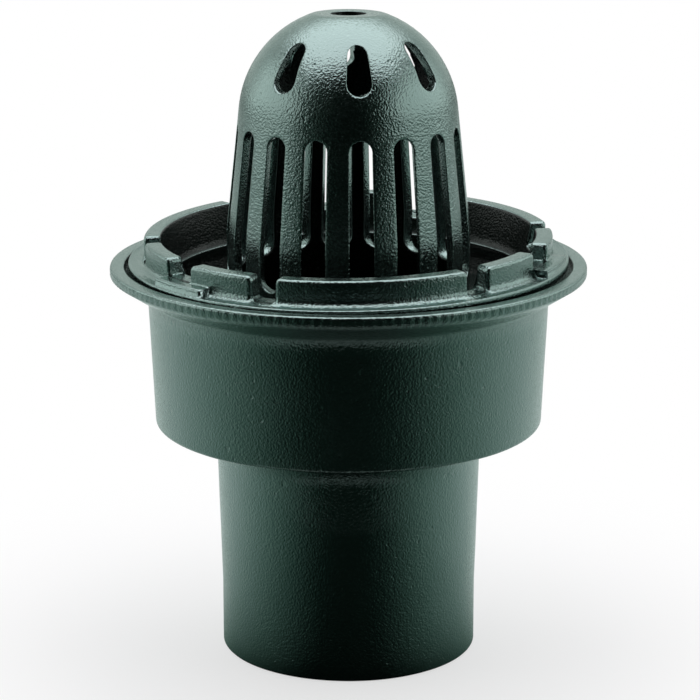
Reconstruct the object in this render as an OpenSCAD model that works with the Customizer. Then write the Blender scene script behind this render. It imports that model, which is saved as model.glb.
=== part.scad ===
// Flat roof drain: a cast sump body with a spigot outlet, a loose castellated
// guard ring in its rim, and a slotted dome strainer on a ledge inside.
// The outlet's axis is Z, and the spigot's end stands on Z = 0.

/* [Outlet spigot] */
// Outer diameter of the spigot, where a coupling grips it
spigot_d = 111.2; // [108:0.1:116]
// Length of the straight part that a coupling grips
spigot_grip = 28; // [15:1:45]
// Wall of the spigot
spigot_wall = 5.2; // [4:0.1:7]
// Height from the spigot's end to the underside of the sump
neck_h = 101; // [80:1:140]
// Growth of the neck's radius from that straight part up to its fillet
neck_taper = 1.6; // [0:0.1:4]
// Radius of the fillet between the neck and the sump
neck_fillet = 15; // [6:0.5:16]

/* [Sump] */
// Outer diameter of the sump at its bottom edge
sump_bottom_d = 167.6; // [160:0.2:172]
// Growth of the sump's radius from its bottom edge up to the rim
sump_draft = 2.4; // [0:0.1:5]
// Height of the sump wall from its underside to the rim's cone
sump_h = 56; // [46:1:80]
// Wall of the sump
sump_wall = 6.2; // [5:0.1:8]
// Thickness of the sump floor
floor_t = 7; // [5:0.5:10]
// Radius of the sump's outer bottom edge
sump_edge_r = 2; // [0.5:0.5:4]
// Radius inside the sump, between its wall and its floor
sump_inner_r = 8; // [3:0.5:10]
// Radius of the funnel edge where the floor turns down into the outlet
funnel_r = 8; // [3:0.5:10]

/* [Rim] */
// Overhang of the rim past the top of the sump wall
rim_overhang = 16; // [14:0.2:24]
// Height of the cone under the rim
rim_cone_h = 10.3; // [8:0.1:14]
// Height of the rim's upright face
rim_face_h = 3.8; // [3:0.1:6]
// Depth of the recess that holds the guard ring
recess_depth = 3.6; // [2:0.1:4]
// Width of the land between the recess and the rim's edge
rim_land = 6.5; // [4:0.1:8]
// Step from the sump's inner wall out to the mouth below the recess
mouth_step = 2.2; // [0.5:0.1:4]
// Depth from the ring's seat to the ledge that carries the strainer
ledge_depth = 18.6; // [14:0.2:26]
// Width of that ledge
ledge_w = 10; // [6:0.5:14]
// Thickness of that ledge
ledge_t = 5; // [4:0.5:8]

/* [Guard ring] */
// Gap between the ring's flange and the recess around it
ring_gap = 1.4; // [0.6:0.1:3]
// Thickness of the flange
flange_t = 4.2; // [3:0.1:6]
// Distance from the mouth out to the outer face of the castellated wall
guard_setback = 5.2; // [3:0.1:6]
// Thickness of the castellated wall at its top
guard_wall = 7.2; // [5:0.1:9]
// Height of the castellations above the flange
guard_h = 10.3; // [6:0.1:20]
// Depth of the skirt that reaches below the flange into the mouth
skirt_depth = 4.4; // [2:0.1:6]
// Gap between the skirt and the mouth
skirt_gap = 1.2; // [0.6:0.1:2.5]
// Thickness of the skirt at its lower edge
skirt_t = 4.2; // [3:0.1:6]
// Radius of the fillet at the foot of the castellated wall
guard_fillet = 3; // [1:0.5:4]
// Angle that each short castellation covers; the long ones take up the rest
short_tooth = 21.4; // [14:0.1:26]
// Width of the narrow notches
narrow_notch = 10.2; // [6:0.2:14]
// Width of the wide notches
wide_notch = 16; // [10:0.2:20]
// Radius of the notches' bottom corners
notch_foot_r = 2; // [0.5:0.5:3]
// Radius of the castellations' top corners
tooth_corner_r = 2.2; // [0.5:0.1:4]
// Height of the stops that stand on the flange beside the wide notches
stop_h = 3; // [1:0.5:5]
// Angle that each stop covers
stop_angle = 18.5; // [8:0.5:24]
// Turn of the ring in its recess
ring_turn = 7; // [-180:1:180]
// Lean of the loose ring on its seat
ring_lean = 1.2; // [0:0.1:1.5]
// Side that the loose ring leans down to, from +X towards +Y
ring_low_side = 241; // [0:1:359]

/* [Dome strainer] */
// Height of the strainer from the ledge to its crown
dome_h = 128.6; // [110:1:150]
// Outer diameter of the cylindrical foot of the dome
dome_foot_d = 104.4; // [98:0.2:110]
// Height of that cylindrical foot above the ledge
dome_foot_h = 36; // [26:1:50]
// Radius of the round crown
crown_r = 46.7; // [42:0.1:49]
// Diameter of the flat on the crown
crown_flat_d = 30; // [24:1:40]
// Diameter of the hole through the crown
crown_hole_d = 14.6; // [8:0.1:20]
// Wall of the strainer
dome_wall = 4.6; // [3.5:0.1:6]
// Diameter that the strainer's flange leaves free inside the skirt
flange_gap = 1.6; // [1:0.1:4]
// Thickness of the strainer's flange
dome_flange_t = 5; // [3:0.5:7]
// Radius between the flange and the dome
dome_fillet = 3; // [1:0.5:5]

/* [Strainer slots] */
// Number of long slots around the dome
long_slots = 16; // [8:1:18]
// Height of the long slots' lower ends above the ledge
long_slot_z = 18; // [10:0.5:30]
// Plain band between the long slots and the short ones
slot_band = 18; // [10:0.2:30]
// Width of the long slots at their lower ends
long_slot_foot_w = 9.8; // [6:0.1:11]
// Width of the long slots at their upper ends
long_slot_head_w = 8.8; // [5:0.1:10]
// Number of short slots in each of the crown's two groups, between its closed sides
short_slots = 3; // [1:1:3]
// Angle between neighbouring short slots of a group
short_slot_step = 45; // [30:1:50]
// Drop from the crown to the short slots' upper ends
short_slot_drop = 9.6; // [5:0.2:14]
// Height of the short slots, end to end
short_slot_h = 19; // [10:0.5:24]
// Width of the short slots at their lower ends
short_slot_foot_w = 9.8; // [6:0.1:12]
// Width of the short slots at their upper ends
short_slot_head_w = 7.8; // [4:0.1:10]
// Turn of the strainer on its ledge
dome_turn = 6.2; // [-180:0.1:180]

/* [Hidden] */
$fn = 144;
fold = 3;                                // the ring's pattern repeats three times
tiny = 0.01;
soft_edge = 0.8;                         // rounding of cast edges
bead_w = 1.6;                            // bead along the flange's outer edge
bead_h = 0.5;
fillet_step = 9;                         // angle between the points of a wide fillet,
corner_step = 15;                        // of a corner or a slot's end,
edge_step = 22.5;                        // and of a soft edge
paint = [0.13, 0.19, 0.17];
paint_light = [0.19, 0.26, 0.24];

spigot_r = spigot_d / 2;
bore_r = spigot_r - spigot_wall;
neck_r = spigot_r + neck_taper;
sump_bottom_r = sump_bottom_d / 2;
sump_top_r = sump_bottom_r + sump_draft;
cone_z = neck_h + sump_h;
rim_r = sump_top_r + rim_overhang;
rim_face_z = cone_z + rim_cone_h;
rim_z = rim_face_z + rim_face_h;
recess_r = rim_r - rim_land;
seat_z = rim_z - recess_depth;
mouth_r = sump_inner(cone_z) + mouth_step;
floor_z = neck_h + floor_t;
ledge_z = seat_z - ledge_depth;
floor_w = sump_inner(floor_z) - bore_r;
neck_round = min(neck_fillet, sump_bottom_r - sump_edge_r - neck_r);
funnel_round = min(funnel_r, floor_w / 2);
inner_round = min(sump_inner_r, floor_w / 2);

flange_r = recess_r - ring_gap;
guard_r = mouth_r + guard_setback;
guard_inner_r = guard_r - guard_wall;
skirt_r = mouth_r - skirt_gap;
skirt_inner_r = skirt_r - skirt_t;
ring_lift = flange_r * sin(ring_lean);
ring_z = seat_z + ring_lift;
guard_round = min(guard_fillet, flange_r - bead_w - guard_r);
tooth_pitch = 360 / fold;
narrow_half_angle = asin(narrow_notch / 2 / guard_r);
wide_half_angle = asin(wide_notch / 2 / guard_r);
wide_notch_at = tooth_pitch / 2;
narrow_notch_at = wide_notch_at - wide_half_angle - short_tooth - narrow_half_angle;

dome_foot_r = dome_foot_d / 2;
crown_z = dome_h - sqrt(crown_r ^ 2 - (crown_flat_d / 2) ^ 2);
dome_flange_r = skirt_inner_r - flange_gap / 2;
short_slot_z = dome_h - short_slot_drop - short_slot_h;
long_slot_h = short_slot_z - slot_band - long_slot_z;
long_slot_from = crown_r - 2 * dome_wall;  // inside the wall at every height
short_slot_from = crown_flat_d / 2;

// Points along an arc from angle a0 to angle a1, about every step degrees
function arc(centre, r, a0, a1, step = fillet_step) =
    let (n = ceil(abs(a1 - a0) / step))
        [for (i = [0 : n]) let (a = a0 + (a1 - a0) * i / n) centre + r * [cos(a), sin(a)]];

// Inner radius of the sump at height z, inside its tapered wall
function sump_inner(z) =
    sump_bottom_r + (sump_top_r - sump_bottom_r) * (z - neck_h) / sump_h - sump_wall;

function body_outline() = concat(
    [[bore_r, 0]],
    arc([spigot_r - soft_edge, soft_edge], soft_edge, -90, 0, edge_step),
    [[spigot_r, spigot_grip]],
    arc([neck_r + neck_round, neck_h - neck_round], neck_round, 180, 90),
    arc([sump_bottom_r - sump_edge_r, neck_h + sump_edge_r], sump_edge_r, -90, 0, corner_step),
    [[sump_top_r, cone_z], [rim_r, rim_face_z]],
    arc([rim_r - soft_edge, rim_z - soft_edge], soft_edge, 0, 90, edge_step),
    arc([recess_r + soft_edge, rim_z - soft_edge], soft_edge, 90, 180, edge_step),
    [[recess_r, seat_z], [mouth_r, seat_z], [mouth_r, cone_z + soft_edge]],
    [[sump_inner(cone_z), cone_z - mouth_r + sump_inner(cone_z)]],
    [[sump_inner(ledge_z), ledge_z]],
    arc([sump_inner(ledge_z) - ledge_w + soft_edge, ledge_z - soft_edge],
        soft_edge, 90, 180, edge_step),
    [[sump_inner(ledge_z) - ledge_w, ledge_z - ledge_t]],
    [[sump_inner(ledge_z - ledge_t - ledge_w), ledge_z - ledge_t - ledge_w]],
    arc([sump_inner(floor_z + inner_round) - inner_round, floor_z + inner_round],
        inner_round, 0, -90),
    arc([bore_r + funnel_round, floor_z - funnel_round], funnel_round, 90, 180));

module drain_body() {
    color(paint)
        rotate_extrude() polygon(body_outline());
}

function ring_outline() = concat(
    [[skirt_inner_r, -skirt_depth], [skirt_r, -skirt_depth], [skirt_r, 0], [flange_r, 0]],
    arc([flange_r - bead_w / 2, flange_t - bead_w / 2], bead_w / 2, 0, 90, edge_step),
    [[flange_r - bead_w, flange_t - bead_h]],
    arc([guard_r + guard_round, flange_t - bead_h + guard_round],
        guard_round, -90, -180, corner_step),
    arc([guard_r - soft_edge, flange_t + guard_h - soft_edge], soft_edge, 0, 90, edge_step),
    arc([guard_inner_r + soft_edge, flange_t + guard_h - soft_edge],
        soft_edge, 90, 180, edge_step));

// Outline of a notch with rounded bottom corners, flared at its top
function notch_outline(w) = concat(
    arc([-w / 2 + notch_foot_r, notch_foot_r], notch_foot_r, 180, 270, corner_step),
    arc([w / 2 - notch_foot_r, notch_foot_r], notch_foot_r, -90, 0, corner_step),
    arc([w / 2 + tooth_corner_r, guard_h - tooth_corner_r], tooth_corner_r, 180, 90, corner_step),
    [[w / 2 + tooth_corner_r, guard_h + tooth_corner_r]],
    [[-w / 2 - tooth_corner_r, guard_h + tooth_corner_r]],
    arc([-w / 2 - tooth_corner_r, guard_h - tooth_corner_r], tooth_corner_r, 90, 0, corner_step));

// Cut that leaves a notch w wide through the wall at angle a
module notch(w, a) {
    rotate([0, 0, a])
        translate([guard_inner_r - guard_wall, 0, flange_t])
            rotate([90, 0, 90])
                linear_extrude(2 * guard_wall + guard_round + soft_edge)
                    polygon(notch_outline(w));
}

// Block on the flange that starts beside a wide notch
module stop() {
    rotate([0, 0, wide_notch_at - wide_half_angle])
        rotate_extrude(angle = stop_angle)
            translate([guard_inner_r + soft_edge, flange_t - bead_h - tiny])
                square([flange_r - bead_w / 2 - guard_inner_r - soft_edge, stop_h + bead_h]);
}

module guard_ring() {
    color(paint_light)
        translate([0, 0, ring_z])
            rotate(a = ring_lean, v = [-sin(ring_low_side), cos(ring_low_side), 0])
                rotate([0, 0, ring_turn - 90])
                    upright_ring();
}

// The ring on its own axes, with a long castellation centred on +X
module upright_ring() {
    difference() {
        rotate_extrude() polygon(ring_outline());
        for (k = [0 : fold - 1], side = [-1, 1])
            notch(narrow_notch, k * tooth_pitch + side * narrow_notch_at);
        for (k = [0 : fold - 1])
            notch(wide_notch, k * tooth_pitch + wide_notch_at);
    }
    for (k = [0 : fold - 1])
        rotate([0, 0, k * tooth_pitch]) stop();
}

// Half section of the dome filled to the axis; inset moves its skin inwards
module dome_section(inset) {
    r = crown_r - inset;
    foot = [dome_foot_r - inset, dome_foot_h];
    run = norm([foot.x, foot.y - crown_z]);
    touch = acos(r / run) - atan2(crown_z - foot.y, foot.x);
    polygon([[0, 0], [foot.x, 0], foot, [r * cos(touch), crown_z + r * sin(touch)],
             [0, crown_z + r * sin(touch)]]);
    intersection() {
        translate([0, crown_z]) circle(r);
        square([dome_foot_r, dome_h - inset]);
    }
}

// Half section of the flange, with the fillet that runs up into the dome
module dome_flange_section() {
    square([dome_flange_r, dome_flange_t]);
    difference() {
        square([dome_foot_r + dome_fillet, dome_flange_t + dome_fillet]);
        translate([dome_foot_r + dome_fillet, dome_flange_t + dome_fillet]) circle(dome_fillet);
    }
}

module dome_shell() {
    rotate_extrude()
        difference() {
            union() {
                dome_section(0);
                dome_flange_section();
            }
            dome_section(dome_wall);
            square([crown_hole_d / 2, dome_h + tiny]);
        }
}

// Outline of a slot with round ends, foot_w wide below and head_w above
function slot_outline(h, foot_w, head_w) =
    let (foot = foot_w / 2, head = head_w / 2, tilt = asin((foot - head) / (h - foot - head)))
        concat(arc([0, h - head], head, tilt, 180 - tilt, corner_step),
               arc([0, foot], foot, 180 - tilt, 360 + tilt, corner_step));

// Row of cuts through the wall, step degrees apart, from radius r outwards and height z upwards
module slots(count, step, r, z, h, foot_w, head_w) {
    for (i = [0 : count - 1])
        rotate([0, 0, i * step])
            translate([r, 0, z])
                rotate([90, 0, 90])
                    linear_extrude(dome_foot_r) polygon(slot_outline(h, foot_w, head_w));
}

module dome_strainer() {
    color(paint)
        translate([0, 0, ledge_z])
            rotate([0, 0, dome_turn - 90])
                difference() {
                    dome_shell();
                    slots(long_slots, 360 / long_slots, long_slot_from, long_slot_z,
                          long_slot_h, long_slot_foot_w, long_slot_head_w);
                    for (middle = [0, 180])
                        rotate([0, 0, middle - (short_slots - 1) / 2 * short_slot_step])
                            slots(short_slots, short_slot_step, short_slot_from, short_slot_z,
                                  short_slot_h, short_slot_foot_w, short_slot_head_w);
                }
}

drain_body();
guard_ring();
dome_strainer();
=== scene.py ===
"""A cast-iron flat roof drain: body with its spigot, loose guard ring and slotted strainer.

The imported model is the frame. Each casting is built again here at the same size, with its soft
cast edges, its serrated rim and the slight waviness of sand-cast iron, and rides on the frame.
"""

import logging
import math
from dataclasses import dataclass
from enum import Enum

import bmesh
import bpy
from bmesh.types import BMEdge, BMesh, BMVert
from bpy.types import Material, Node, NodeSocket, NodeTree, Object, ShaderNodeTree
from mathutils import Matrix, Vector, noise


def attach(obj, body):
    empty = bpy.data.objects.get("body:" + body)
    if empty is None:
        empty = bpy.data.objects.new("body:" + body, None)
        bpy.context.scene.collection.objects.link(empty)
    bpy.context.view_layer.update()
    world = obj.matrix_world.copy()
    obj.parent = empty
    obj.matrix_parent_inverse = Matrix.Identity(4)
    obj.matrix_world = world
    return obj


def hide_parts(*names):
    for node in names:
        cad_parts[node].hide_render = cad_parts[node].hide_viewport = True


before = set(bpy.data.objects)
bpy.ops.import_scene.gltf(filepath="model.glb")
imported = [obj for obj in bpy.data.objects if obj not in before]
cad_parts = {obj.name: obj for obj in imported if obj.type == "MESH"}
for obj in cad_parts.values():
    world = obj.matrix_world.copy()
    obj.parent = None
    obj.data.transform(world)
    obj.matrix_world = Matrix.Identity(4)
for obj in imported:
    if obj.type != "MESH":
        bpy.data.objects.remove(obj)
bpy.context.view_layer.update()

LOG = logging.getLogger("roof_drain")
MM = 0.001
SECTORS = 8
# Distances in millimetres under which points are one: on a finished mesh, along a seam.
WELD, SEAM = 1e-4, 1e-3
THIRDS = (0.33, 0.67)
PANEL_LAYERS = ("swing", "lateral", "level", "lip")
FLOAT, VECTOR, COLOUR = "NodeSocketFloat", "NodeSocketVector", "NodeSocketColor"
Point = tuple[float, float]
Triple = tuple[float, float, float]
Rgba = tuple[float, float, float, float]
Outline = list[Point]


class Slot(Enum):
    """Material slots of the record, one for each casting."""

    BODY = "body_coating"
    RING = "ring_coating"
    STRAINER = "strainer_coating"


def arc(centre: Point, radius: float, start: float, end: float, step: float = 9.0) -> Outline:
    """Points along an arc of a section.

    Args:
        centre: Centre as (radius from the axis, height), in millimetres.
        radius: Radius of the arc.
        start: First angle in degrees.
        end: Last angle in degrees.
        step: Largest angle between two points.

    Returns:
        The points from the first angle to the last.
    """
    count = max(1, math.ceil(abs(end - start) / step))
    angles = [math.radians(start + (end - start) * i / count) for i in range(count + 1)]
    return [(centre[0] + radius * math.cos(a), centre[1] + radius * math.sin(a)) for a in angles]


def divided(outline: Outline, longest: float) -> Outline:
    """A closed outline with points added along its straight stretches.

    Args:
        outline: The closed outline.
        longest: Largest distance left between two points.

    Returns:
        The outline with the added points.
    """
    result: Outline = []
    for (r0, z0), (r1, z1) in zip(outline, outline[1:] + outline[:1]):
        count = max(1, math.ceil(math.hypot(r1 - r0, z1 - z0) / longest))
        result += [(r0 + (r1 - r0) * i / count, z0 + (z1 - z0) * i / count) for i in range(count)]
    return result


def spin_outline(outline: Outline, steps: int) -> BMesh:
    """Turns a closed outline once round the Z axis.

    Args:
        outline: Points as (radius, height), in millimetres.
        steps: Number of steps in the turn, a multiple of the number of sectors.

    Returns:
        A closed bmesh, in millimetres.
    """
    bm = bmesh.new()
    verts = [bm.verts.new((r, 0.0, z)) for r, z in outline]
    edges = [bm.edges.new(pair) for pair in zip(verts, verts[1:] + verts[:1])]
    bmesh.ops.spin(bm, geom=verts + edges, cent=(0, 0, 0), axis=(0, 0, 1), dvec=(0, 0, 0),
                   angle=2 * math.pi / SECTORS, steps=steps // SECTORS, use_merge=False,
                   use_duplicate=False)
    sector = bm.verts[:] + bm.edges[:] + bm.faces[:]
    for k in range(1, SECTORS):
        made = bmesh.ops.duplicate(bm, geom=sector)["geom"]
        turned = [part for part in made if isinstance(part, BMVert)]
        bmesh.ops.rotate(bm, cent=(0, 0, 0), verts=turned,
                         matrix=Matrix.Rotation(2 * math.pi * k / SECTORS, 3, "Z"))
    bmesh.ops.remove_doubles(bm, verts=bm.verts, dist=SEAM)
    return bm


@dataclass(frozen=True)
class CastSkin:
    """Waviness that sand casting leaves on a surface.

    Attributes:
        swell: Height of the long waves, in millimetres.
        swell_length: Length of the long waves, in millimetres.
        ripple: Height of the short waves, in millimetres.
        ripple_length: Length of the short waves, in millimetres.
    """

    swell: float = 0.16
    swell_length: float = 26.0
    ripple: float = 0.03
    ripple_length: float = 7.0

    def roughen(self, bm: BMesh, seed: float) -> None:
        """Moves every vertex inwards along its normal by the waves' height.

        Args:
            bm: The mesh, in millimetres.
            seed: Shift of the pattern, so that no two castings match.
        """
        bm.normal_update()
        shift = Vector((seed, 2 * seed, 3 * seed))
        for v in bm.verts:
            long = noise.noise(v.co / self.swell_length + shift)
            short = noise.noise(v.co / self.ripple_length - shift)
            depth = self.swell * (0.5 + 0.5 * long) + self.ripple * (0.5 + 0.5 * short)
            v.co -= v.normal * depth


def linked(name: str, data: bpy.types.ID) -> Object:
    """Makes an object of some data and puts it in the scene."""
    made = bpy.data.objects.new(name, data)
    bpy.context.scene.collection.objects.link(made)
    return made


def finished_piece(bm: BMesh, name: str, material: Material) -> Object:
    """Closes a casting's mesh, scales it to metres and links its object.

    Args:
        bm: The mesh in millimetres; it is freed.
        name: Name of the object.
        material: Its finish.

    Returns:
        The new object, at the origin.
    """
    bmesh.ops.remove_doubles(bm, verts=bm.verts, dist=WELD)
    bmesh.ops.recalc_face_normals(bm, faces=bm.faces)
    bmesh.ops.scale(bm, vec=(MM, MM, MM), verts=bm.verts)
    for face in bm.faces:
        face.smooth = True
    mesh = bpy.data.meshes.new(name)
    bm.to_mesh(mesh)
    bm.free()
    mesh.materials.append(material)
    return linked(name, mesh)


@dataclass
class DrainBody:
    """The cast body: spigot, sump, ledge and serrated rim, turned from one section.

    Sizes are in millimetres.
    """

    spigot_r: float = 55.6
    spigot_grip: float = 28.0
    bore_r: float = 50.4
    neck_r: float = 57.2
    neck_fillet: float = 15.0
    sump_foot_z: float = 101.0
    sump_bottom_r: float = 83.8
    sump_top_r: float = 86.2
    sump_wall: float = 6.2
    sump_edge_r: float = 2.0
    cone_z: float = 157.0
    floor_z: float = 108.0
    floor_edge_r: float = 8.0
    rim_r: float = 102.2
    rim_face_z: float = 167.3
    rim_z: float = 171.1
    recess_r: float = 95.7
    seat_z: float = 167.5
    mouth_r: float = 82.2
    ledge_z: float = 148.9
    ledge_r: float = 69.65
    ledge_t: float = 5.0
    soft: float = 1.2
    ribs: int = 170
    rib_depth: float = 0.42
    rib_least: float = 0.6
    rib_patches: float = 90.0
    steps_per_rib: int = 4
    longest: float = 7.0
    seed: float = 1.0

    def inner_r(self, z: float) -> float:
        """Radius of the sump's inner wall at a height."""
        share = (z - self.sump_foot_z) / (self.cone_z - self.sump_foot_z)
        return self.sump_bottom_r + (self.sump_top_r - self.sump_bottom_r) * share - self.sump_wall

    def outline(self) -> Outline:
        """The closed section, from the bore's lower edge round the outside and back inside."""
        s, edge = self.soft, self.floor_edge_r
        ledge_root = self.ledge_z - self.ledge_t - (self.inner_r(self.ledge_z) - self.ledge_r)
        return (
            [(self.bore_r, 0.0)]
            + arc((self.spigot_r - s, s), s, -90, 0, 18)
            + [(self.spigot_r, self.spigot_grip)]
            + arc((self.neck_r + self.neck_fillet, self.sump_foot_z - self.neck_fillet),
                  self.neck_fillet, 180, 90, 7)
            + arc((self.sump_bottom_r - self.sump_edge_r, self.sump_foot_z + self.sump_edge_r),
                  self.sump_edge_r, -90, 0, 15)
            + [(self.sump_top_r, self.cone_z), (self.rim_r, self.rim_face_z)]
            + arc((self.rim_r - s, self.rim_z - s), s, 0, 90, 18)
            + arc((self.recess_r + s, self.rim_z - s), s, 90, 180, 18)
            + [(self.recess_r, self.seat_z), (self.mouth_r, self.seat_z)]
            + [(self.mouth_r, self.cone_z + s),
               (self.inner_r(self.cone_z), self.cone_z - self.mouth_r + self.inner_r(self.cone_z)),
               (self.inner_r(self.ledge_z), self.ledge_z)]
            + arc((self.ledge_r + s, self.ledge_z - s), s, 90, 180, 30)
            + [(self.ledge_r, self.ledge_z - self.ledge_t), (self.inner_r(ledge_root), ledge_root)]
            + arc((self.inner_r(self.floor_z + edge) - edge, self.floor_z + edge),
                  edge, 0, -90, 15)
            + arc((self.bore_r + edge, self.floor_z - edge), edge, 90, 180, 15)
        )

    def serrate(self, bm: BMesh) -> None:
        """Presses the fine upright ribs into the rim's outer face.

        Args:
            bm: The body's mesh.
        """
        for v in bm.verts:
            radius = math.hypot(v.co.x, v.co.y)
            share = (radius - self.rim_r) / self.soft + 1
            if share < 0 or v.co.z < self.rim_face_z - SEAM:
                continue
            turn = math.atan2(v.co.y, v.co.x) / (2 * math.pi)
            patch = noise.noise(Vector((turn * self.rib_patches, 0, 0)))
            uneven = self.rib_least + (1 - self.rib_least) * patch
            wave = 0.5 - 0.5 * math.cos(turn * self.ribs * 2 * math.pi)
            cut = self.rib_depth * wave * uneven * min(1.0, share)
            v.co.x *= 1 - cut / radius
            v.co.y *= 1 - cut / radius

    def build(self, material: Material, skin: CastSkin) -> Object:
        """Makes the body.

        Args:
            material: Its coating.
            skin: Waviness of its surface.

        Returns:
            The finished piece.
        """
        bm = spin_outline(divided(self.outline(), self.longest), self.ribs * self.steps_per_rib)
        bmesh.ops.recalc_face_normals(bm, faces=bm.faces)
        skin.roughen(bm, self.seed)
        self.serrate(bm)
        return finished_piece(bm, "drain_body_casting", material)


@dataclass(frozen=True)
class Station:
    """Shape of the guard ring's wall at one angle.

    Attributes:
        angle: Angle in degrees round the ring.
        top: Height of the wall above the flange.
        floor: Height of the nearest notch's floor above the flange.
        inset: How far the wall's faces stand back, at a castellation's end.
        pad: Share of the stop's height, 0 on the bare flange and 1 on a stop.
    """

    angle: float
    top: float
    floor: float
    inset: float
    pad: float


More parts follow.
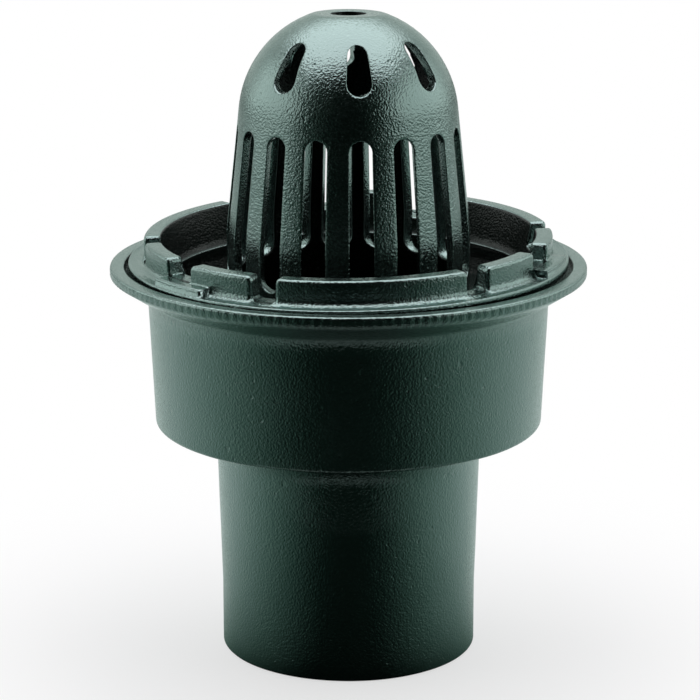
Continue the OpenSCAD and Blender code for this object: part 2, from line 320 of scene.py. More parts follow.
@dataclass
class GuardRing:
    """The loose castellated ring, swept round its axis from stations.

    Sizes are in millimetres, on the ring's own axis with its seat at height 0.
    """

    seat_z: float = 169.475
    lean: float = 1.2
    low_side: float = 241.0
    turn: float = 7.0
    flange_r: float = 94.3
    flange_t: float = 4.2
    bead_w: float = 1.6
    bead_h: float = 0.5
    guard_r: float = 87.4
    guard_inner_r: float = 80.2
    guard_h: float = 10.3
    fillet: float = 3.0
    skirt_r: float = 81.0
    skirt_inner_r: float = 76.8
    skirt_depth: float = 4.4
    skirt_lip: float = 0.5
    narrow_notch: float = 10.2
    wide_notch: float = 16.0
    short_tooth: float = 21.4
    notch_foot_r: float = 2.0
    tooth_corner_r: float = 2.2
    stop_h: float = 3.0
    stop_angle: float = 18.5
    soft: float = 1.5
    least_soft: float = 0.02
    fold: int = 3
    spacing: float = 1.5
    face_gap: float = 0.015
    seed: float = 5.0

    def degrees(self, width: float) -> float:
        """Angle that a width covers on the wall's outer face."""
        return math.degrees(math.asin(width / self.guard_r))

    def notch_side(self, centre: float, width: float, floor: float, side: int,
                   pads: Point) -> list[Station]:
        """Stations from the middle of a notch out to where the castellation is whole.

        Args:
            centre: Angle of the notch's middle.
            width: Width of the notch.
            floor: Height of its floor above the flange.
            side: 1 towards larger angles, -1 towards smaller ones.
            pads: Pad share on the notch's side of its end face, and on the other.

        Returns:
            The stations, outwards from the middle.
        """
        half = width / 2
        foot = min(self.notch_foot_r, max(self.soft / 2, self.notch_foot_r - floor))
        corner = self.tooth_corner_r
        found = [(0.0, floor, 0.0, pads[0])]
        for x, z in arc((half - foot, floor + foot), foot, -90, 0, 18):
            found.append((x, z, self.soft, pads[0]))
        for x, z in arc((half + corner, self.guard_h - corner), corner, 180, 90, 15):
            back = min(self.soft, max(0.0, self.soft - (x - half)))
            inset = self.soft - math.sqrt(self.soft**2 - back**2)
            found.append((x + self.face_gap, z, inset, pads[1]))
        return [
            Station(centre + side * self.degrees(x), z, floor, inset, pad)
            for x, z, inset, pad in found
        ]

    def stations(self) -> list[Station]:
        """All stations of one of the ring's repeats, in order of angle."""
        pitch = 360 / self.fold
        wide_at, wide_half = pitch / 2, self.degrees(self.wide_notch / 2)
        narrow_half = self.degrees(self.narrow_notch / 2)
        narrow_at = wide_at - wide_half - self.short_tooth - narrow_half
        stop_end = wide_at - wide_half + self.stop_angle
        low, high, bare = (1.0, 0.0), (1.0, 1.0), (0.0, 0.0)
        found: list[Station] = []
        for centre in (narrow_at, pitch - narrow_at):
            for side in (-1, 1):
                found += self.notch_side(centre, self.narrow_notch, 0.0, side, bare)
        found += self.notch_side(wide_at, self.wide_notch, self.stop_h, -1, low)
        found += self.notch_side(wide_at, self.wide_notch, self.stop_h, 1, high)
        found += [Station(stop_end - self.degrees(self.face_gap), self.guard_h, 0.0, 0.0, 1.0),
                  Station(stop_end, self.guard_h, 0.0, 0.0, 0.0)]
        found.sort(key=lambda s: s.angle)
        result: list[Station] = []
        around = found + [Station(found[0].angle + pitch, found[0].top, found[0].floor, 0.0, 0.0)]
        for here, after in zip(around, around[1:]):
            result.append(here)
            count = math.ceil((after.angle - here.angle) / self.spacing)
            for i in range(1, count):
                angle = here.angle + (after.angle - here.angle) * i / count
                result.append(Station(angle, here.top, here.floor, 0.0, here.pad))
        return sorted(result, key=lambda s: s.angle)

    def section(self, at: Station) -> Outline:
        """Closed section of the ring at a station, always with as many points.

        Args:
            at: The station.

        Returns:
            Points as (radius, height).
        """
        top = self.flange_t + at.top
        floor = self.flange_t + at.floor
        deck = self.flange_t - self.bead_h + at.pad * (self.stop_h + self.bead_h)
        bead = self.bead_w / 2
        fillet = self.fillet * (1 - at.pad) + self.soft / 2 * at.pad
        deck_r = self.flange_r - self.bead_w + at.pad * bead
        outer_soft = min(self.soft, max(self.least_soft, top - deck - fillet))

        def inset(z: float) -> float:
            return at.inset * min(1.0, max(0.0, z - floor))

        def wall_r(z: float) -> float:
            share = (z + self.skirt_depth) / (self.flange_t + self.guard_h + self.skirt_depth)
            return self.skirt_inner_r + (self.guard_inner_r - self.skirt_inner_r) * share

        def outside(r: float, z: float) -> Point:
            z = min(z, top)
            return (r - inset(z) if r < self.guard_r + fillet else r, z)

        round_in = self.soft / 2
        lip, lip_z = self.skirt_lip, self.skirt_lip - self.skirt_depth
        points = arc((self.skirt_inner_r, lip_z), lip, 90, 270, 30)
        points += arc((self.skirt_r - round_in, round_in - self.skirt_depth), round_in, -90, 0, 45)
        points += [(self.skirt_r, 0.0), (self.flange_r - round_in, 0.0), (self.flange_r, round_in)]
        points += arc((self.flange_r - bead, self.flange_t - bead), bead, 0, 90, 22.5)
        points += [(deck_r, self.flange_t - self.bead_h * (1 - at.pad))]
        points += [(deck_r - bead * at.pad / 4, deck - round_in * at.pad)]
        points += [(deck_r - bead / 2, deck), ((deck_r + self.guard_r + fillet) / 2, deck)]
        points += [outside(r, z) for r, z in
                   arc((self.guard_r + fillet, deck + fillet), fillet, -90, -180, 15)]
        side_low, side_high = min(deck + fillet, top), top - outer_soft
        points += [outside(self.guard_r, side_low + (side_high - side_low) * share)
                   for share in THIRDS]
        shoulder = (self.guard_r - outer_soft, top - outer_soft)
        points += [outside(r, z) for r, z in arc(shoulder, outer_soft, 0, 90, 22.5)]
        inner_edge = wall_r(top - self.soft)
        land = (self.guard_r - outer_soft, inner_edge + self.soft)
        points += [(land[0] + (land[1] - land[0]) * share, top) for share in THIRDS]
        points += [(r + inset(z), z) for r, z in
                   arc((inner_edge + self.soft, top - self.soft), self.soft, 90, 180, 22.5)]
        for share in (0.25, 0.5, 0.75):
            z = top - self.soft + (floor - top) * share
            points.append((wall_r(z) + inset(z), z))
        points += [(wall_r(z), z) for z in (floor - self.soft, 0.0)]
        return points

    def build(self, material: Material, skin: CastSkin) -> Object:
        """Makes the ring and lays it, leaning, on its seat.

        Args:
            material: Its coating.
            skin: Waviness of its surface.

        Returns:
            The finished piece.
        """
        repeat = self.stations()
        pitch = 360 / self.fold
        around = [(s.angle + k * pitch, self.section(s)) for k in range(self.fold) for s in repeat]
        base = around[0][1]
        bm = bmesh.new()
        place = bm.verts.layers.int.new("place")
        verts = [bm.verts.new((r, 0.0, z)) for r, z in base]
        for i, v in enumerate(verts):
            v[place] = i
        edges = [bm.edges.new(pair) for pair in zip(verts, verts[1:] + verts[:1])]
        bmesh.ops.spin(bm, geom=verts + edges, cent=(0, 0, 0), axis=(0, 0, 1), dvec=(0, 0, 0),
                       angle=2 * math.pi, steps=len(around), use_merge=True, use_duplicate=False)
        step = 2 * math.pi / len(around)
        for v in bm.verts:
            index = round(math.atan2(v.co.y, v.co.x) / step) % len(around)
            angle, section = around[index]
            r, z = section[v[place]]
            v.co = (r * math.cos(math.radians(angle)), r * math.sin(math.radians(angle)), z)
        bmesh.ops.remove_doubles(bm, verts=bm.verts, dist=SEAM)
        bmesh.ops.dissolve_degenerate(bm, dist=SEAM, edges=bm.edges)
        bmesh.ops.recalc_face_normals(bm, faces=bm.faces)
        skin.roughen(bm, self.seed)
        low = math.radians(self.low_side)
        lean_axis = Vector((-math.sin(low), math.cos(low), 0))
        lay = (
            Matrix.Translation((0, 0, self.seat_z))
            @ Matrix.Rotation(math.radians(self.lean), 4, lean_axis)
            @ Matrix.Rotation(math.radians(self.turn - 90), 4, "Z")
        )
        bmesh.ops.transform(bm, matrix=lay, verts=bm.verts)
        return finished_piece(bm, "guard_ring_casting", material)


@dataclass(frozen=True)
class SlotCut:
    """A slot through the strainer's wall and the cell of the mesh that holds it.

    Attributes:
        foot_z: Height of its lower end.
        head_z: Height of its upper end.
        foot_w: Width of its lower end.
        head_w: Width of its upper end.
        cell_low: Height of the cell's lower side.
        cell_high: Height of the cell's upper side.
        side_steps: Number of mesh steps along each side.
    """

    foot_z: float
    head_z: float
    foot_w: float
    head_w: float
    cell_low: float
    cell_high: float
    side_steps: int

    def outline(self, end_steps: int) -> Outline:
        """Closed outline of the slot.

        Args:
            end_steps: Number of steps round each end.

        Returns:
            Points as (distance from the middle, height), up the right side and down the left.
        """
        foot, head = self.foot_w / 2, self.head_w / 2
        low, high = self.foot_z + foot, self.head_z - head
        tilt = math.degrees(math.asin((foot - head) / (high - low)))
        upper = arc((0, high), head, tilt, 180 - tilt, (180 - 2 * tilt) / (end_steps - 0.5))
        lower = arc((0, low), foot, 180 - tilt, 360 + tilt, (180 + 2 * tilt) / (end_steps - 0.5))
        sides: list[Outline] = []
        for (x0, z0), (x1, z1) in ((lower[-1], upper[0]), (upper[-1], lower[0])):
            n = self.side_steps
            sides.append([(x0 + (x1 - x0) * i / n, z0 + (z1 - z0) * i / n) for i in range(n + 1)])
        return sides[0] + upper[1:-1] + sides[1] + lower[1:-1]

    def border(self, half: float, end_steps: int) -> Outline:
        """Closed outline of the cell, with a point for each of the slot's.

        Args:
            half: Half the cell's width.
            end_steps: Number of steps along its lower and upper sides.

        Returns:
            Points as (distance from the middle, height).
        """
        low, high, n, m = self.cell_low, self.cell_high, self.side_steps, end_steps
        rise, run = (high - low) / n, 2 * half / m
        right = [(half, low + rise * i) for i in range(n + 1)]
        top = [(half - run * i, high) for i in range(1, m)]
        left = [(-half, high - rise * i) for i in range(n + 1)]
        bottom = [(-half + run * i, low) for i in range(1, m)]
        return right + top + left + bottom


@dataclass
class Strainer:
    """The slotted dome with its foot flange, built from panels wrapped round the axis.

    Sizes are in millimetres, on the strainer's own axis with its base at height 0.
    """

    base_z: float = 148.9
    turn: float = 6.2
    panels: int = 16
    short_slots: tuple[int, ...] = (0, 2, 6, 8, 10, 14)
    height: float = 128.6
    foot_r: float = 52.2
    foot_h: float = 36.0
    crown_r: float = 46.7
    flat_r: float = 15.0
    hole_r: float = 7.3
    wall: float = 4.6
    flare: float = 1.4
    flange_r: float = 76.0
    flange_t: float = 5.0
    fillet: float = 3.0
    soft: float = 0.7
    weld: float = 0.01
    foot_rises: Point = (1.5, 3.5)
    crown_shares: tuple[float, ...] = (0.3, 0.6, 0.85, 0.96)
    flat_rows: Triple = (14.4, 11.7, 9.2)
    band_rows: int = 4
    end_steps: int = 10
    seed: float = 9.0
    long_cut: SlotCut = SlotCut(18.0, 82.0, 9.8, 8.8, 14.0, 86.0, 24)
    short_cut: SlotCut = SlotCut(100.0, 119.0, 9.8, 7.8, 96.4, 122.0, 10)

    def skin(self, inset: float) -> Triple:
        """Sphere radius, its centre's height and the angle above it where the cone starts."""
        centre = self.height - math.sqrt(self.crown_r**2 - self.flat_r**2)
        radius = self.crown_r - inset
        foot = (self.foot_r - inset, self.foot_h - centre)
        run = math.hypot(*foot)
        touch = math.acos(radius / run) - math.atan2(-foot[1], foot[0])
        return radius, centre, touch

    def skin_r(self, z: float, inset: float) -> float:
        """Radius of the dome's skin at a height.

        Args:
            z: The height.
            inset: 0 for the outer skin, the wall's thickness for the inner one.

        Returns:
            Distance from the axis.
        """
        radius, centre, touch = self.skin(inset)
        foot_r = self.foot_r - inset
        touch_r, touch_z = radius * math.cos(touch), centre + radius * math.sin(touch)
        if z <= self.foot_h:
            return foot_r
        if z <= touch_z:
            return foot_r + (touch_r - foot_r) * (z - self.foot_h) / (touch_z - self.foot_h)
        return math.sqrt(max(0.0, radius**2 - (z - centre) ** 2))

    def low_rows(self) -> list[tuple[Point, Point]]:
        """Outer and inner points of the plain rows below the cells, upwards."""
        soft, foot, inner = self.soft, self.foot_r, self.foot_r - self.wall
        outer = [(self.flange_r, soft)]
        outer += arc((self.flange_r - soft, self.flange_t - soft), soft, 0, 90, 30)
        reach = self.flange_r - soft - foot - self.fillet
        outer += [(self.flange_r - soft - reach * i / 4, self.flange_t) for i in (1, 2, 3)]
        outer += arc((foot + self.fillet, self.flange_t + self.fillet), self.fillet, -90, -180, 15)
        outer += [(foot, self.flange_t + self.fillet + rise) for rise in self.foot_rises]
        span = self.flange_r - soft - inner - soft
        under = len(outer) - 2
        below = [(self.flange_r - soft - span * i / (under - 1), 0.0) for i in range(under)]
        return list(zip(outer, below + [(inner, soft), (inner, self.flange_t)]))

    def high_rows(self) -> list[tuple[Point, Point]]:
        """Outer and inner points of the plain rows above the cells, to the crown's hole."""
        rows: list[tuple[Point, Point]] = []
        last = self.short_cut.cell_high
        for share in self.crown_shares:
            z = last + (self.height - last) * share
            low = self.inner_level(z)
            rows.append(((self.skin_r(z, 0), z), (self.skin_r(low, self.wall), low)))
        top, under = self.height, self.height - self.wall
        for r in (*self.flat_rows, self.hole_r + self.soft):
            rows.append(((r, top), (r, under)))
        for angle in (30, 60, 90):
            back = self.soft * (1 - math.sin(math.radians(angle)))
            drop = self.soft * (1 - math.cos(math.radians(angle)))
            rows.append(((self.hole_r + back, top - drop), (self.hole_r + back, under + drop)))
        return rows

    def inner_level(self, z: float) -> float:
        """Height on the inner skin across from a height on the outer one."""
        head, top = self.short_cut.head_z, self.height - self.wall
        return z if z <= head else head + (z - head) * (top - head) / (self.height - head)

    def place(self, level: float, swing: float, lateral: float, inside: bool) -> Vector:
        """Position on the dome of a point of the flat panels.

        Args:
            level: Its height, or its row's number beyond the cells.
            swing: Its angle round the axis in degrees, without the sideways part.
            lateral: Its distance sideways from a slot's middle plane.
            inside: Whether it goes on the inner skin.

        Returns:
            The position.
        """
        first, last = self.long_cut.cell_low, self.short_cut.cell_high
        if level < first - 0.5:
            r, z = self.low_rows()[round(level - first)][inside]
        elif level > last + 0.5:
            r, z = self.high_rows()[round(level - last) - 1][inside]
        else:
            z = self.inner_level(level) if inside else level
            r = self.skin_r(z, self.wall if inside else 0.0)
            lateral *= self.flare if inside else 1.0
        angle = math.radians(swing) + math.asin(lateral / r)
        return Vector((r * math.cos(angle), r * math.sin(angle), z))

    def flat_panel(self, bm: BMesh, swing: float, short_slot: bool) -> None:
        """Adds one flat panel with its slots, as wide as a long slot's share of the turn.

        Args:
            bm: The mesh, with its panel layers.
            swing: Angle of the panel's middle in degrees.
            short_slot: Whether the panel has a short slot too.
        """
        swings, laterals, levels, lips = (bm.verts.layers.float[name] for name in PANEL_LAYERS)
        half, m = 180 / self.panels, self.end_steps
        long_cut, short_cut = self.long_cut, self.short_cut
        low, high = len(self.low_rows()), len(self.high_rows())
        strips = [
            (long_cut.cell_low - low, long_cut.cell_low, low),
            (long_cut.cell_high, short_cut.cell_low, self.band_rows),
            (short_cut.cell_high, short_cut.cell_high + high, high),
        ]
        if not short_slot:
            strips.append((short_cut.cell_low, short_cut.cell_high, short_cut.side_steps))
        for start, end, rows in strips:
            spread = Matrix.Translation((0, (start + end) / 2, 0)) @ Matrix.Diagonal(
                (half, (end - start) / 2, 1, 1))
            grid = bmesh.ops.create_grid(bm, x_segments=m, y_segments=rows, size=1.0,
                                         matrix=spread)
            for v in grid["verts"]:
                v[swings], v[levels] = swing + v.co.x, v.co.y
        for cut in (long_cut, short_cut) if short_slot else (long_cut,):
            loops: list[BMEdge] = []
            for outline, lip in ((cut.outline(m), 1.0), (cut.border(half, m), 0.0)):
                verts = [bm.verts.new((x, z, 0)) for x, z in outline]
                loops += [bm.edges.new(pair) for pair in zip(verts, verts[1:] + verts[:1])]
                for v in verts:
                    v[swings] = swing + v.co.x * (1 - lip)
                    v[laterals] = v.co.x * lip
                    v[levels] = v.co.y
                    v[lips] = lip
            rungs = bmesh.ops.bridge_loops(bm, edges=loops)["edges"]
            bmesh.ops.subdivide_edges(bm, edges=rungs, cuts=2, use_grid_fill=True)

    def build(self, material: Material, skin: CastSkin) -> Object:
        """Makes the strainer and stands it on its ledge.

        Args:
            material: Its coating.
            skin: Waviness of its surface.

        Returns:
            The finished piece.
        """
        bm = bmesh.new()
        for name in PANEL_LAYERS:
            bm.verts.layers.float.new(name)
        for k in range(self.panels):
            self.flat_panel(bm, k * 360 / self.panels, k in self.short_slots)
        swings, laterals, levels, lips = (bm.verts.layers.float[name] for name in PANEL_LAYERS)
        for v in bm.verts:
            v.co = self.place(v[levels], v[swings], v[laterals], False)
        bmesh.ops.remove_doubles(bm, verts=bm.verts, dist=self.weld)
        made = bmesh.ops.extrude_face_region(bm, geom=bm.faces[:], use_keep_orig=True)["geom"]
        inner = {part for part in made if isinstance(part, BMVert)}
        for v in inner:
            v.co = self.place(v[levels], v[swings], v[laterals], True)
        slot_lips = [
            e for e in bm.edges
            if min(v[lips] for v in e.verts) > 0.99
            and (e.verts[0] in inner) == (e.verts[1] in inner)
        ]
        bmesh.ops.recalc_face_normals(bm, faces=bm.faces)
        bmesh.ops.bevel(bm, geom=slot_lips, offset=self.soft, offset_type="OFFSET",
                        affect="EDGES", segments=2, profile=0.5, material=-1)
        skin.roughen(bm, self.seed)
        stand = Matrix.Translation((0, 0, self.base_z)) @ Matrix.Rotation(
            math.radians(self.turn - 90), 4, "Z")
        bmesh.ops.transform(bm, matrix=stand, verts=bm.verts)
        return finished_piece(bm, "dome_strainer_casting", material)


class NodeSheet:
    """Short-hand for building a node tree."""

    def __init__(self, tree: NodeTree) -> None:
        """Takes the tree and empties it."""
        self.tree = tree
        tree.nodes.clear()

    def add(self, kind: str, settings: dict[str, object] | None = None,
            **inputs: object) -> Node:
        """Adds a node, sets its properties and fills or links its inputs.

        Args:
            kind: The node's type.
            settings: Properties of the node.
            **inputs: Value or socket for each input, with "_" for a blank in its name, or
                "in_N" for the input at place N.

        Returns:
            The new node.
        """
        node = self.tree.nodes.new(kind)
        for key, value in (settings or {}).items():
            setattr(node, key, value)
        for key, value in inputs.items():
            at = int(key[3:]) if key.startswith("in_") else key.replace("_", " ")
            if isinstance(value, NodeSocket):
                self.tree.links.new(value, node.inputs[at])
            else:
                node.inputs[at].default_value = value
        return node

    def math(self, operation: str, *values: object) -> NodeSocket:
        """Adds a Math node and returns its output."""
        inputs = {f"in_{i}": value for i, value in enumerate(values)}
        return self.add("ShaderNodeMath", {"operation": operation}, **inputs).outputs[0]

    def ramp(self, value: NodeSocket, low: float, high: float,
             to_low: float = 0.0, to_high: float = 1.0) -> NodeSocket:
        """Maps a value smoothly from one range to another and returns the result."""
        node = self.add("ShaderNodeMapRange", {"interpolation_type": "SMOOTHSTEP"},
                        Value=value, From_Min=low, From_Max=high, To_Min=to_low, To_Max=to_high)
        return node.outputs["Result"]

    def blend(self, factor: object, first: object, second: object) -> NodeSocket:
        """Mixes two colours and returns the result."""
        node = self.add("ShaderNodeMix", {"data_type": "RGBA"}, in_0=factor, in_6=first,
                        in_7=second)
        return node.outputs[2]


def node_group(name: str, inputs: dict[str, tuple[str, object]],
               outputs: dict[str, str]) -> ShaderNodeTree:
    """Makes an empty shader node group with its sockets.

    Args:
        name: The group's name.
        inputs: Socket type and default for each input.
        outputs: Socket type for each output.

    Returns:
        The group.
    """
    group = bpy.data.node_groups.new(name, "ShaderNodeTree")
    for label, (kind, value) in inputs.items():
        socket = group.interface.new_socket(label, in_out="INPUT", socket_type=kind)
        if value is not None:
            socket.default_value = value
    for label, kind in outputs.items():
        group.interface.new_socket(label, in_out="OUTPUT", socket_type=kind)
    return group


@dataclass(frozen=True)
class SandGrain:
    """The relief that moulding sand and dip coating leave, as a node group.

    Attributes:
        pit_density: Pits for each length of the coat's long waves.
        pit_edge: Distances from a pit's middle where it starts and where it is deepest.
        pit_depth: Depth of a pit, where the grain's height is 1.
    """

    pit_density: float = 0.9
    pit_edge: Point = (0.16, 0.02)
    pit_depth: float = 0.5

    def build(self) -> ShaderNodeTree:
        """Makes the group.

        Returns:
            The group, with the relief's height and a mask of its pits.
        """
        group = node_group(
            "sand_grain",
            {"Vector": (VECTOR, None), "Grain Size": (FLOAT, 0.0012), "Peel Size": (FLOAT, 0.005),
             "Peel Share": (FLOAT, 0.15)},
            {"Height": FLOAT, "Pits": FLOAT},
        )
        sheet = NodeSheet(group)
        given = sheet.add("NodeGroupInput").outputs
        per_grain = sheet.math("DIVIDE", 1.0, given["Grain Size"])
        per_peel = sheet.math("DIVIDE", 1.0, given["Peel Size"])
        grain = sheet.add("ShaderNodeTexNoise", Vector=given["Vector"], Scale=per_grain,
                          Detail=1.0, Roughness=0.5).outputs["Fac"]
        peel = sheet.add("ShaderNodeTexNoise", Vector=given["Vector"], Scale=per_peel,
                         Detail=2.0, Roughness=0.45).outputs["Fac"]
        per_pit = sheet.math("MULTIPLY", per_peel, self.pit_density)
        cells = sheet.add("ShaderNodeTexVoronoi", {"feature": "SMOOTH_F1"},
                          Vector=given["Vector"], Scale=per_pit).outputs["Distance"]
        pits = sheet.ramp(cells, *self.pit_edge)
        relief = sheet.math("MULTIPLY_ADD", peel, given["Peel Share"], grain)
        height = sheet.math("MULTIPLY_ADD", pits, -self.pit_depth, relief)
        sheet.add("NodeGroupOutput", Height=height, Pits=pits)
        return group


@dataclass(frozen=True)
class CoatTone:
    """Uneven tone and gloss of the dip coating, as a node group.

    Attributes:
        cloud_scale: Clouds in a metre.
        speck_scale: Specks in a metre.
        thin_clouds: Cloud values between which the coat goes from thick to thin.
        thin_specks: The same for the specks.
        thin_shares: How far a cloud, a speck and a pit thin the coat.
        dull_clouds: Cloud values between which the coat goes from glossy to dull.
        dull_specks: The same for the specks.
        dull_share: Share of the specks in the dullness; the clouds have the rest.
    """

    cloud_scale: float = 34.0
    speck_scale: float = 950.0
    thin_clouds: Point = (0.42, 0.72)
    thin_specks: Point = (0.56, 0.74)
    thin_shares: Triple = (0.6, 0.35, 0.5)
    dull_clouds: Point = (0.3, 0.7)
    dull_specks: Point = (0.35, 0.65)
    dull_share: float = 0.6

    def build(self) -> ShaderNodeTree:
        """Makes the group.

        Returns:
            The group, with a colour and a roughness that change over the surface.
        """
        group = node_group(
            "coat_tone",
            {"Vector": (VECTOR, None), "Pits": (FLOAT, 0.0), "Deep": (COLOUR, (0, 0, 0, 1)),
             "Thin": (COLOUR, (0, 0, 0, 1)), "Glossy": (FLOAT, 0.2), "Dull": (FLOAT, 0.35)},
            {"Colour": COLOUR, "Roughness": FLOAT},
        )
        sheet = NodeSheet(group)
        given = sheet.add("NodeGroupInput").outputs
        clouds = sheet.add("ShaderNodeTexNoise", Vector=given["Vector"], Scale=self.cloud_scale,
                           Detail=4.0, Roughness=0.6).outputs["Fac"]
        specks = sheet.add("ShaderNodeTexNoise", Vector=given["Vector"], Scale=self.speck_scale,
                           Detail=1.0).outputs["Fac"]
        by_cloud, by_speck, by_pit = self.thin_shares
        thin = sheet.math("MULTIPLY", sheet.ramp(clouds, *self.thin_clouds), by_cloud)
        thin = sheet.math("MULTIPLY_ADD", sheet.ramp(specks, *self.thin_specks), by_speck, thin)
        thin = sheet.math("MAXIMUM", thin, sheet.math("MULTIPLY", given["Pits"], by_pit))
        colour = sheet.blend(thin, given["Deep"], given["Thin"])
        dull = sheet.math("MULTIPLY", sheet.ramp(clouds, *self.dull_clouds), 1 - self.dull_share)
        dull = sheet.math("MULTIPLY_ADD", sheet.ramp(specks, *self.dull_specks), self.dull_share,
                          dull)
        span = sheet.math("SUBTRACT", given["Dull"], given["Glossy"])
        rough = sheet.math("MULTIPLY_ADD", dull, span, given["Glossy"])
        sheet.add("NodeGroupOutput", Colour=colour, Roughness=rough)
        return group


@dataclass(frozen=True)
class CoatedIron:
    """Semi-gloss green-black dip coating over sand-cast iron, with painted shade on faces that
    look towards the axis.

    Attributes:
        name: Name of the material.
        shift: Offset of its pattern, so that no two castings match.
        deep: Colour of the graphite sheen where the coating is thick.
        thin: Colour of the sheen where it is thin.
        inside: Painted shade on faces that look towards the axis: a near-black colour, with the
            metallic sheen taken off, that darkens the hollows.
        glossy: Roughness where it is smoothest.
        dull: Roughness where it is dullest.
        relief: Height of the grain, in metres.
        grain_size: Size of the grains, in metres.
        peel_size: Length of the coat's long waves, in metres.
        ior: Refractive index of the coat where the metallic sheen is off, on the faces under
            painted shade.
        edge_tint: Colour of the sheen where it is seen edge on.
        inward: Cosines from the way outwards where the painted shade starts and where it is whole.
    """

    name: str
    shift: Triple
    deep: Rgba = (0.194, 0.262, 0.247, 1)
    thin: Rgba = (0.222, 0.290, 0.275, 1)
    inside: Rgba = (0.0008, 0.0026, 0.0016, 1)
    glossy: float = 0.14
    dull: float = 0.27
    relief: float = 0.00024
    grain_size: float = 0.0009
    peel_size: float = 0.005
    ior: float = 1.35
    edge_tint: Rgba = (0.92, 1.0, 0.965, 1)
    inward: Point = (-0.55, -0.85)

    def faces_inwards(self, sheet: NodeSheet) -> NodeSocket:
        """Adds the painted shade mask of the faces that look towards the axis.

        Args:
            sheet: The material's node tree.

        Returns:
            The painted shade mask, 1 on those faces.
        """
        coords = sheet.add("ShaderNodeTexCoord").outputs
        flat = sheet.add("ShaderNodeVectorMath", {"operation": "MULTIPLY"}, in_0=coords["Object"],
                         in_1=(1.0, 1.0, 0.0)).outputs[0]
        out = sheet.add("ShaderNodeVectorMath", {"operation": "NORMALIZE"}, in_0=flat).outputs[0]
        facing = sheet.add("ShaderNodeVectorMath", {"operation": "DOT_PRODUCT"}, in_0=out,
                           in_1=coords["Normal"]).outputs["Value"]
        return sheet.ramp(facing, *self.inward)

    def build(self, grain: ShaderNodeTree, tone: ShaderNodeTree) -> Material:
        """Makes the material.

        Args:
            grain: The sand grain group.
            tone: The coat tone group.

        Returns:
            The material.
        """
        material = bpy.data.materials.new(self.name)
        material.use_nodes = True
        sheet = NodeSheet(material.node_tree)
        place = sheet.add("ShaderNodeTexCoord").outputs["Object"]
        place = sheet.add("ShaderNodeMapping", Vector=place, Location=self.shift).outputs[0]
        relief = sheet.add("ShaderNodeGroup", {"node_tree": grain}, Vector=place,
                           Grain_Size=self.grain_size, Peel_Size=self.peel_size)
        coat = sheet.add("ShaderNodeGroup", {"node_tree": tone}, Vector=place,
                         Pits=relief.outputs["Pits"], Deep=self.deep, Thin=self.thin,
                         Glossy=self.glossy, Dull=self.dull)
        bump = sheet.add("ShaderNodeBump", Height=relief.outputs["Height"], Strength=1.0,
                         Distance=self.relief)
        # Painted shade: faces that look towards the axis get a near-black colour and lose the
        # metallic sheen, so the hollows read as shaded.
        inside = self.faces_inwards(sheet)
        shader = sheet.add("ShaderNodeBsdfPrincipled", IOR=self.ior, Specular_Tint=self.edge_tint,
                           Base_Color=sheet.blend(inside, coat.outputs["Colour"], self.inside),
                           Metallic=sheet.math("SUBTRACT", 1.0, inside),
                           Roughness=coat.outputs["Roughness"], Normal=bump.outputs["Normal"])
        sheet.add("ShaderNodeOutputMaterial", Surface=shader.outputs["BSDF"])
        return material


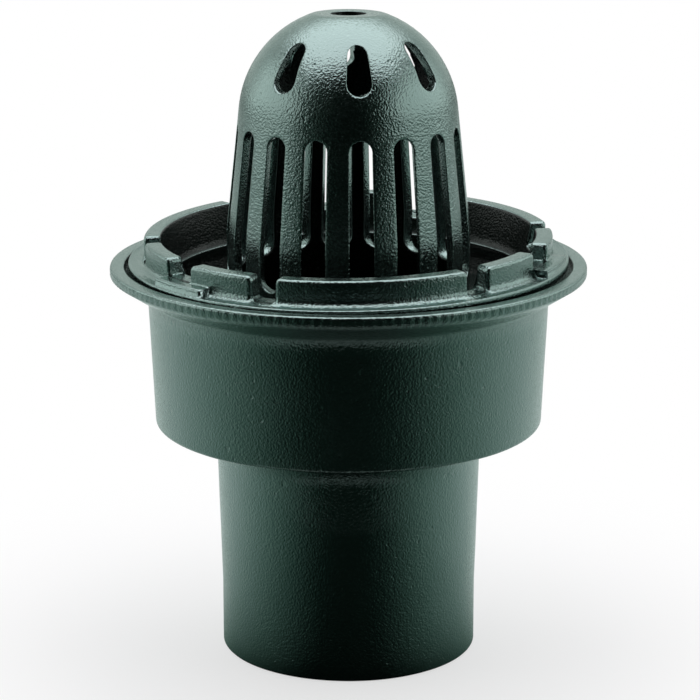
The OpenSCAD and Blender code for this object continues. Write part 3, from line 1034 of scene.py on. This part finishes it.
@dataclass
class Studio:
    """Pale floor, soft light, black flags and camera, in metres and degrees.

    The flags darken what the metal mirrors from the front, on the floor and around.
    """

    floor_size: float = 12.0
    floor_tone: float = 0.78
    clear_from: float = 0.1
    clear_to: float = 0.27
    clear_least: float = 0.6
    flag_from: float = 15.0
    flag_to: float = 135.0
    flag_tone: float = 0.02
    mirrored_floor: float = 0.88
    side_level: float = 0.4
    back_level: float = 0.75
    back_from: float = 0.9
    box_tint: Triple = (1.05, 1.0, 1.045)
    side_tint: Triple = (0.96, 1.0, 0.98)
    flag_tint: Triple = (0.53, 1.0, 0.8)
    box_levels: Point = (2.1, 1.9)
    box_width: float = 2.4
    box_reach: Point = (0.8, 1.3)
    box_height: float = 1.65
    side_box_level: float = 1.0
    side_distance: float = 1.5
    side_nears: Point = (-0.95, -1.4)
    side_far: float = 1.1
    side_heights: Point = (0.2, 1.35)
    card_level: float = 0.22
    card_size: Point = (0.26, 0.062)
    card_place: Triple = (0.0, -0.117, 0.02)
    card_turn: Triple = (216.9, 0.0, 0.0)
    camera_place: Triple = (0.00066, -1.0898, 0.4154)
    camera_pitch: float = 75.4
    lens: float = 133.71

    def flagged(self, sheet: NodeSheet, direction: NodeSocket) -> NodeSocket:
        """Adds the share of light that the flags in front leave.

        Args:
            sheet: The node tree.
            direction: Direction or place that is mirrored.

        Returns:
            The share, least straight in front and 1 behind.
        """
        parts = sheet.add("ShaderNodeSeparateXYZ", Vector=direction).outputs
        turn = sheet.math("ARCTAN2", sheet.math("ABSOLUTE", parts["X"]),
                          sheet.math("MULTIPLY", parts["Y"], -1.0))
        return sheet.ramp(sheet.math("DEGREES", turn), self.flag_from, self.flag_to,
                          self.flag_tone, 1.0)

    def floor(self) -> None:
        """Lays the floor, white to the camera and darker in front where it is mirrored."""
        bm = bmesh.new()
        bmesh.ops.create_grid(bm, x_segments=1, y_segments=1, size=self.floor_size / 2)
        mesh = bpy.data.meshes.new("studio_floor")
        bm.to_mesh(mesh)
        bm.free()
        material = bpy.data.materials.new("studio_floor")
        material.use_nodes = True
        sheet = NodeSheet(material.node_tree)
        place = sheet.add("ShaderNodeTexCoord").outputs["Object"]
        rays = sheet.add("ShaderNodeLightPath").outputs
        tone = self.floor_tone
        black = sheet.add("ShaderNodeBsdfDiffuse", Color=(0, 0, 0, 1)).outputs[0]
        white = sheet.add("ShaderNodeEmission", Color=(1, 1, 1, 1), Strength=1.0).outputs[0]
        hidden = sheet.math("MULTIPLY", rays["Is Glossy Ray"],
                            sheet.math("MULTIPLY_ADD", self.flagged(sheet, place),
                                       -self.mirrored_floor, 1.0))
        pale, deep = (tone, tone, tone, 1), (*(tone * part for part in self.flag_tint), 1)
        shade = sheet.blend(hidden, pale, deep)
        paper = sheet.add("ShaderNodeBsdfDiffuse", Color=shade).outputs[0]
        seen = sheet.add("ShaderNodeMixShader", in_0=hidden, in_1=paper, in_2=black).outputs[0]
        reach = sheet.add("ShaderNodeVectorMath", {"operation": "LENGTH"}, in_0=place).outputs[1]
        clear = sheet.ramp(reach, self.clear_from, self.clear_to, self.clear_least)
        clear = sheet.math("MULTIPLY", clear, rays["Is Camera Ray"])
        surface = sheet.add("ShaderNodeMixShader", in_0=clear, in_1=seen, in_2=white).outputs[0]
        sheet.add("ShaderNodeOutputMaterial", Surface=surface)
        mesh.materials.append(material)
        linked("studio_floor", mesh)

    def surroundings(self) -> None:
        """Sets the world: white to the camera, flagged in front, brighter behind."""
        world = bpy.data.worlds.new("studio")
        bpy.context.scene.world = world
        world.use_nodes = True
        sheet = NodeSheet(world.node_tree)
        direction = sheet.add("ShaderNodeTexCoord").outputs["Generated"]
        rays = sheet.add("ShaderNodeLightPath").outputs
        behind = sheet.add("ShaderNodeSeparateXYZ", Vector=direction).outputs["Y"]
        level = sheet.ramp(behind, 0.0, self.back_from, self.side_level, self.back_level)
        share = self.flagged(sheet, direction)
        level = sheet.math("MULTIPLY", level, share)
        level = sheet.math("MAXIMUM", level, rays["Is Camera Ray"])
        shade = sheet.blend(sheet.math("SQRT", share), (*self.flag_tint, 1), (*self.side_tint, 1))
        shade = sheet.blend(rays["Is Camera Ray"], shade, (1, 1, 1, 1))
        background = sheet.add("ShaderNodeBackground", Color=shade, Strength=level)
        sheet.add("ShaderNodeOutputWorld", Surface=background.outputs[0])

    def softbox(self, name: str, level: float, size: Point, place: Triple, turn: Triple,
                tint: Triple) -> None:
        """Hangs one softbox.

        Args:
            name: Its name.
            level: Its brightness, where 1 is white.
            size: Its width and length.
            place: Its centre.
            turn: Its rotation in degrees, from facing straight down.
            tint: Its colour.
        """
        lamp = bpy.data.lights.new(f"softbox_{name}", "AREA")
        lamp.shape = "RECTANGLE"
        lamp.size, lamp.size_y = size
        lamp.energy = level * math.pi * lamp.size * lamp.size_y
        lamp.color = tint
        box = linked(lamp.name, lamp)
        box.location = place
        box.rotation_euler = [math.radians(a) for a in turn]
        box.visible_camera = False

    def lights(self) -> None:
        """Hangs two softboxes overhead and one at each side, and leans a card before the neck."""
        (front, back), width, top = self.box_reach, self.box_width, self.box_height
        for name, level, reach, y in (("front", self.box_levels[0], front, -front / 2),
                                      ("back", self.box_levels[1], back, back / 2)):
            self.softbox(name, level, (width, reach), (0, y, top), (0, 0, 0), self.box_tint)
        far = self.side_far
        low, high = self.side_heights
        for (name, side), near in zip((("left", -1), ("right", 1)), self.side_nears):
            middle = (side * self.side_distance, (near + far) / 2, (low + high) / 2)
            self.softbox(name, self.side_box_level, (high - low, far - near), middle,
                         (0, side * 90, 0), self.side_tint)
        self.softbox("card", self.card_level, self.card_size, self.card_place, self.card_turn,
                     self.side_tint)

    def camera(self) -> None:
        """Places the camera."""
        data = bpy.data.cameras.new("camera")
        data.lens = self.lens
        camera = linked("camera", data)
        camera.location = self.camera_place
        camera.rotation_euler = (math.radians(self.camera_pitch), 0, 0)
        bpy.context.scene.camera = camera

    def build(self) -> None:
        """Sets up the whole studio."""
        bpy.context.scene.view_settings.view_transform = "Standard"
        self.camera()
        self.floor()
        self.surroundings()
        self.lights()


def main() -> None:
    """Builds the studio and the three castings and hands them to the frame."""
    Studio().build()
    grain, tone = SandGrain().build(), CoatTone().build()
    skin = CastSkin()
    castings = (
        ("drain_body", Slot.BODY, DrainBody(), CoatedIron("body_finish", (0.3, 0.1, 0.2))),
        ("guard_ring", Slot.RING, GuardRing(), CoatedIron("ring_finish", (1.7, 0.6, 0.9))),
        ("dome_strainer", Slot.STRAINER, Strainer(),
         CoatedIron("strainer_finish", (2.9, 1.4, 2.2))),
    )
    for node, slot, casting, finish in castings:
        piece = casting.build(finish.build(grain, tone), skin)
        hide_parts(node)
        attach(piece, "root")
        LOG.info("%s: %d faces", piece.name, len(piece.data.polygons))


if __name__ == "__main__":
    logging.basicConfig(level=logging.INFO)
    main()
